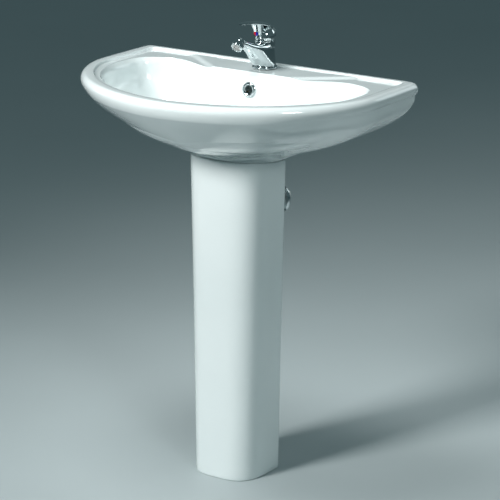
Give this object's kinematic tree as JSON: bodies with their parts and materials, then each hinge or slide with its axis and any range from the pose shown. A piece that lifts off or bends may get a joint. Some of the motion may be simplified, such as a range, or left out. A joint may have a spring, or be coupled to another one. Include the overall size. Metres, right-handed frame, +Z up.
{
  "type": "pedestal sink",
  "caption": "Wall-backed wash basin on a hollow D-shaped pedestal, with a single lever mixer, click waste, overflow and bottle trap; lever lifts and turns, plug slides.",
  "frame": {"origin": "on the floor, under the middle of the overall box", "axes": "+X to the user's right when facing the basin, +Y towards the wall, +Z up"},
  "size_m": [0.682, 0.498, 0.9556],
  "materials": {
    "china": "gloss white glaze",
    "chrome": "mirror",
    "brass": "machined",
    "zinc_steel": "zinc plated",
    "dark_steel": "blackened",
    "black_rubber": "matte",
    "clear_seal": "soft translucent",
    "white_plastic": "smooth moulded",
    "grey_plastic": "fine moulded",
    "blue_plastic": "fine moulded",
    "indicator": "two-colour red and blue"
  },
  "bodies": {
    "fixture": {"basin": "china", "pedestal": "china", "pedestal_buffers": "black_rubber", "wall_studs": "zinc_steel", "stud_sleeves": "white_plastic", "stud_washers": "zinc_steel", "stud_nuts": "zinc_steel", "overflow_ring": "chrome", "waste_body": "chrome", "waste_top_seal": "clear_seal", "waste_low_seal": "black_rubber", "waste_washer": "white_plastic", "waste_nut": "brass", "click_cartridge": "white_plastic", "waste_tail": "chrome", "trap_inlet_nut": "white_plastic", "trap_inlet_seal": "black_rubber", "trap_body": "white_plastic", "trap_cup": "white_plastic", "trap_cup_seal": "black_rubber", "trap_outlet_nut": "white_plastic", "trap_outlet_seal": "black_rubber", "outlet_pipe": "white_plastic", "wall_flange": "chrome", "base_gasket": "black_rubber", "base_ring": "chrome", "mixer_body": "chrome", "aerator_seal": "black_rubber", "aerator_insert": "grey_plastic", "aerator_ring": "chrome", "cartridge_body": "grey_plastic", "cartridge_seals": "black_rubber", "cartridge_nut": "brass", "dome_cover": "chrome", "mount_stud": "zinc_steel", "clamp_gasket": "black_rubber", "clamp_plate": "zinc_steel", "clamp_nut": "brass"},
    "mixer_turn": {"cartridge_carrier": "blue_plastic", "pivot_pin": "zinc_steel"},
    "mixer_lever": {"lever_stem": "brass", "lever_handle": "chrome", "grub_screw": "dark_steel", "indicator_button": "indicator"},
    "plug": {"waste_plug": "chrome", "plug_seal": "black_rubber", "plug_stem": "brass"}
  },
  "joints": [
    {"name": "temperature", "type": "hinge", "parent": "fixture", "child": "mixer_turn", "pos_m": [0, 0.144, 0.906], "axis": [0, 0, 1], "range_deg": [-50, 50]},
    {"name": "flow", "type": "hinge", "parent": "mixer_turn", "child": "mixer_lever", "pos_m": [0, 0.144, 0.914], "axis": [-1, 0, 0], "range_deg": [0, 20]},
    {"name": "plug_click", "type": "slide", "parent": "fixture", "child": "plug", "axis": [0, 0, 1], "range_m": [-0.008, 0], "stiffness_N_per_m": 400, "springref_m": 0.004}
  ]
}
